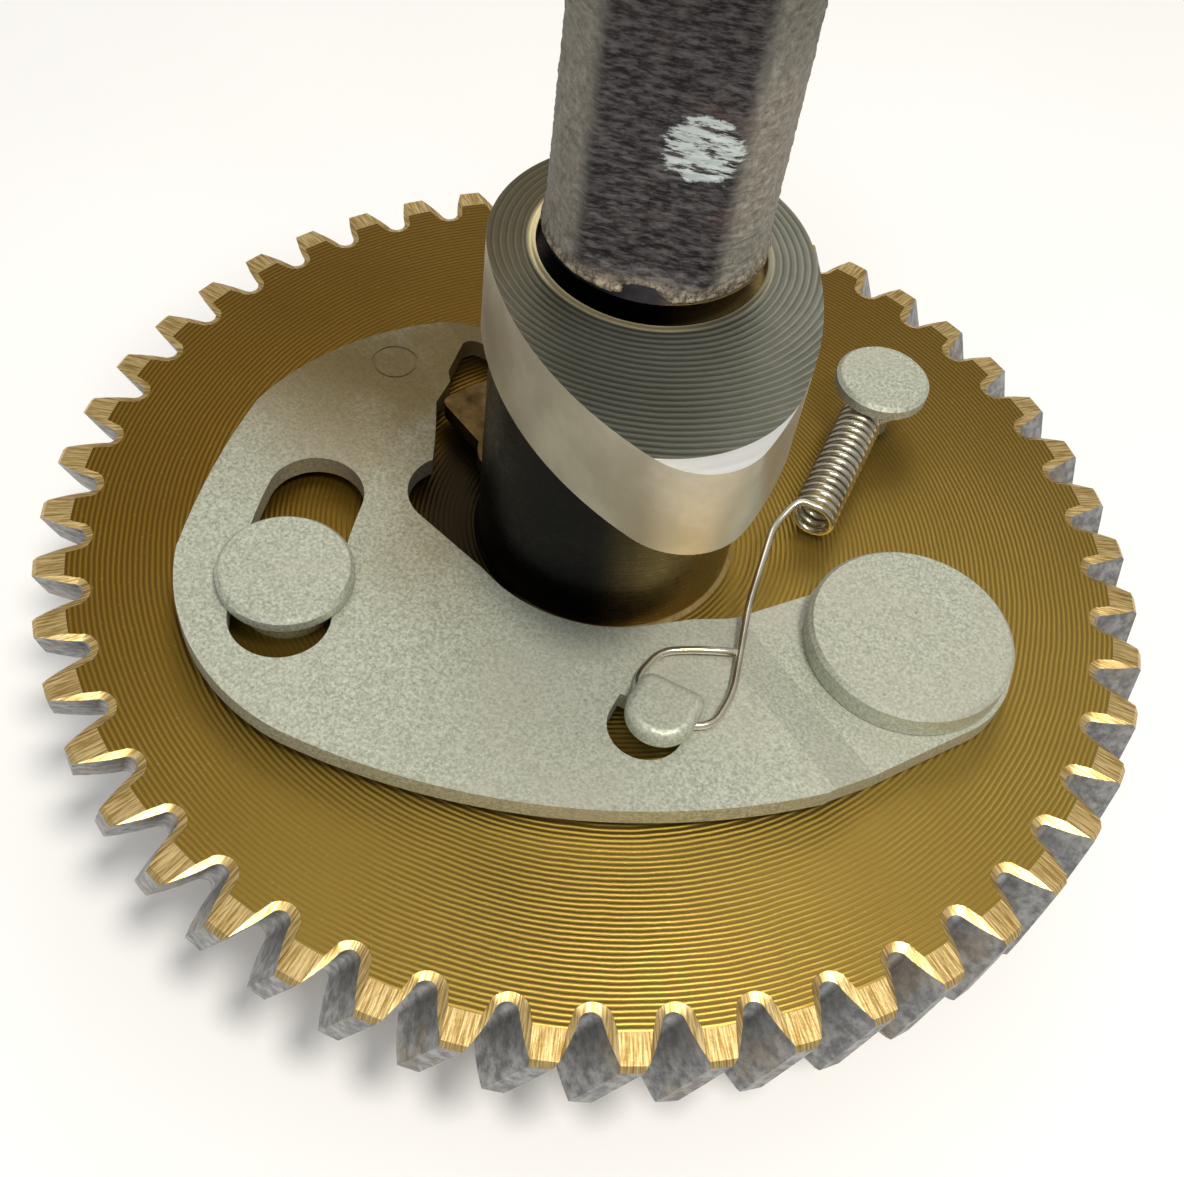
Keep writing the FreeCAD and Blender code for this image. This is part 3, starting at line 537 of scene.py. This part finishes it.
def rounded_line(corners, reach):
    """Points along straight runs whose corners are replaced by smooth curves."""
    points = [corners[0]]
    for before, corner, after in zip(corners, corners[1:], corners[2:]):
        back = min(reach, 0.48 * (corner - before).length)
        ahead = min(reach, 0.48 * (after - corner).length)
        start = corner + (before - corner).normalized() * back
        end = corner + (after - corner).normalized() * ahead
        for step in range(9):
            t = step / 8
            points.append(start.lerp(corner, t).lerp(corner.lerp(end, t), t))
    points.append(corners[-1])
    return points


def spring_line():
    """The spring's centre line in millimetres: leg, coil and eye."""
    axis = (COIL_HIGH - COIL_LOW).normalized()
    up = Vector((0, 0, 1))
    across = axis.cross(up)
    start = COIL_LOW + up * COIL_RADIUS
    finish = COIL_HIGH + up * COIL_RADIUS
    line = rounded_line(LEG + [start - across * 1.6, start], 1.3)
    steps = COIL_TURNS * 28
    for step in range(1, steps):
        turn = 2 * math.pi * COIL_TURNS * step / steps
        along = COIL_LOW.lerp(COIL_HIGH, step / steps)
        line.append(along + up * (COIL_RADIUS * math.cos(turn)) + across * (COIL_RADIUS * math.sin(turn)))
    eye = []
    for step in range(41):
        turn = math.radians(-45 + 270 * step / 40)
        eye.append(POST + Vector((EYE_RADIUS * math.cos(turn), EYE_RADIUS * math.sin(turn), 0)))
    run_in = Vector((1, 1, 0)).normalized() * 0.9
    line += rounded_line([finish, finish + across * 1.4, eye[0] - run_in, eye[0]], 0.6)
    return line + eye[1:]


def tube(line, radius, sides):
    """Vertices and faces of a closed tube along a line, with rounded ends."""
    tangents = []
    for index in range(len(line)):
        before = line[max(index - 1, 0)]
        after = line[min(index + 1, len(line) - 1)]
        tangents.append((after - before).normalized())
    side = tangents[0].orthogonal().normalized()
    rings = []
    for point, tangent in zip(line, tangents):
        side = (side - tangent * side.dot(tangent)).normalized()
        rings.append((point, side, tangent.cross(side)))
    first, last = rings[0], rings[-1]
    shrink = [(0.0, 0.55), (0.35, 0.9)]
    ends = [(first[0] - tangents[0] * radius * (0.5 - s[0]), first[1], first[2], s[1]) for s in shrink]
    tails = [(last[0] + tangents[-1] * radius * (0.5 - s[0]), last[1], last[2], s[1]) for s in shrink]
    sections = ends + [(*ring, 1.0) for ring in rings] + tails[::-1]
    vertices = []
    for centre, first_side, second_side, scale in sections:
        for step in range(sides):
            turn = 2 * math.pi * step / sides
            offset = first_side * math.cos(turn) + second_side * math.sin(turn)
            vertices.append((centre + offset * radius * scale) * MM)
    faces = []
    for row in range(len(sections) - 1):
        for step in range(sides):
            after = (step + 1) % sides
            low = row * sides
            faces.append((low + step, low + after, low + sides + after, low + sides + step))
    top = (len(sections) - 1) * sides
    faces.append(tuple(range(sides - 1, -1, -1)))
    faces.append(tuple(top + step for step in range(sides)))
    return vertices, faces


def clean_line(line):
    """The line without repeated points."""
    kept = [line[0]]
    for point in line[1:]:
        if (point - kept[-1]).length > 0.01:
            kept.append(point)
    return kept


def return_spring():
    """The spring as one smooth wire, stretched between the post and the swinging weight."""
    finish = plain_steel("spring_wire", "spring_wire", (0.52, 0.48, 0.36), (0.78, 0.74, 0.62), 0.16, 0.8)
    vertices, faces = tube(clean_line(spring_line()), WIRE, 14)
    spring = add_piece("return_spring_wire", vertices, faces, finish, None)
    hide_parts("return_spring")
    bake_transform(spring)


return_spring()


# --- floor, light and camera ----------------------------------------------------------------------------


def floor():
    """A plain pale floor under the lower end of the shaft."""
    low = cad_box[0]
    half = FLOOR_SIZE / 2
    mesh = bpy.data.meshes.new("floor")
    corners = [(-half, -half), (half, -half), (half, half), (-half, half)]
    mesh.from_pydata([(x, y, low.z - 0.0002) for x, y in corners], [], [(0, 1, 2, 3)])
    f = Finish("floor_paper", "")
    tone = f.ramp(f.noise(60.0, 2.0, 0.5), 0.3, 0.7)
    colour = f.mix(tone, (0.94, 0.94, 0.935), (0.96, 0.96, 0.955))
    f.set(Base_Color=colour, Roughness=0.85)
    mesh.materials.append(f.material)
    plane = bpy.data.objects.new("floor", mesh)
    bpy.context.scene.collection.objects.link(plane)


def softbox(name, direction, distance, width, strength, colour):
    """An area light that looks at the gear from a direction."""
    data = bpy.data.lights.new(name, "AREA")
    data.shape = "DISK"
    data.size = width
    data.energy = strength
    data.color = colour
    light = bpy.data.objects.new(name, data)
    away = Vector(direction).normalized()
    light.location = away * distance
    light.rotation_mode = "QUATERNION"
    light.rotation_quaternion = away.to_track_quat("Z", "Y")
    bpy.context.scene.collection.objects.link(light)


def world_light():
    """An even pale surround, a little darker towards the horizon."""
    world = bpy.data.worlds.new("studio")
    world.use_nodes = True
    nodes = world.node_tree.nodes
    links = world.node_tree.links
    coordinates = nodes.new("ShaderNodeTexCoord")
    split = nodes.new("ShaderNodeSeparateXYZ")
    links.new(coordinates.outputs["Generated"], split.inputs[0])
    rise = nodes.new("ShaderNodeMapRange")
    rise.inputs["From Min"].default_value = -0.1
    rise.inputs["From Max"].default_value = 0.9
    rise.inputs["To Min"].default_value = 0.22
    rise.inputs["To Max"].default_value = 0.50
    links.new(split.outputs[2], rise.inputs["Value"])
    background = nodes["Background"]
    background.inputs["Color"].default_value = (1.0, 0.985, 0.96, 1.0)
    links.new(rise.outputs[0], background.inputs["Strength"])
    bpy.context.scene.world = world


def camera():
    """The camera looks down on the gear face from in front of the flyweight."""
    data = bpy.data.cameras.new("camera")
    data.sensor_width = 36.0
    data.lens = 43.82
    data.clip_start = 0.005
    data.clip_end = 10.0
    view = bpy.data.objects.new("camera", data)
    right = Vector((0.88767, 0.44843, 0.1045))
    up = Vector((-0.41404, 0.67815, 0.6072))
    back = right.cross(up)
    place = Vector((0.02692, -0.07818, 0.09677))
    turn = Matrix((right, up, back)).transposed().to_4x4()
    view.matrix_world = Matrix.Translation(place) @ turn
    bpy.context.scene.collection.objects.link(view)
    bpy.context.scene.camera = view


floor()
world_light()
softbox("key_warm", (0.34, -0.20, 1.0), 0.60, 0.11, 2.3, (1.0, 0.95, 0.86))
softbox("key_cool", (0.12, -0.60, 1.0), 0.60, 0.20, 0.7, (0.86, 0.92, 1.0))
softbox("behind", (-0.35, 0.85, 0.9), 0.60, 0.30, 0.30, (1.0, 0.92, 0.80))
camera()
bpy.context.scene.view_settings.view_transform = "Standard"
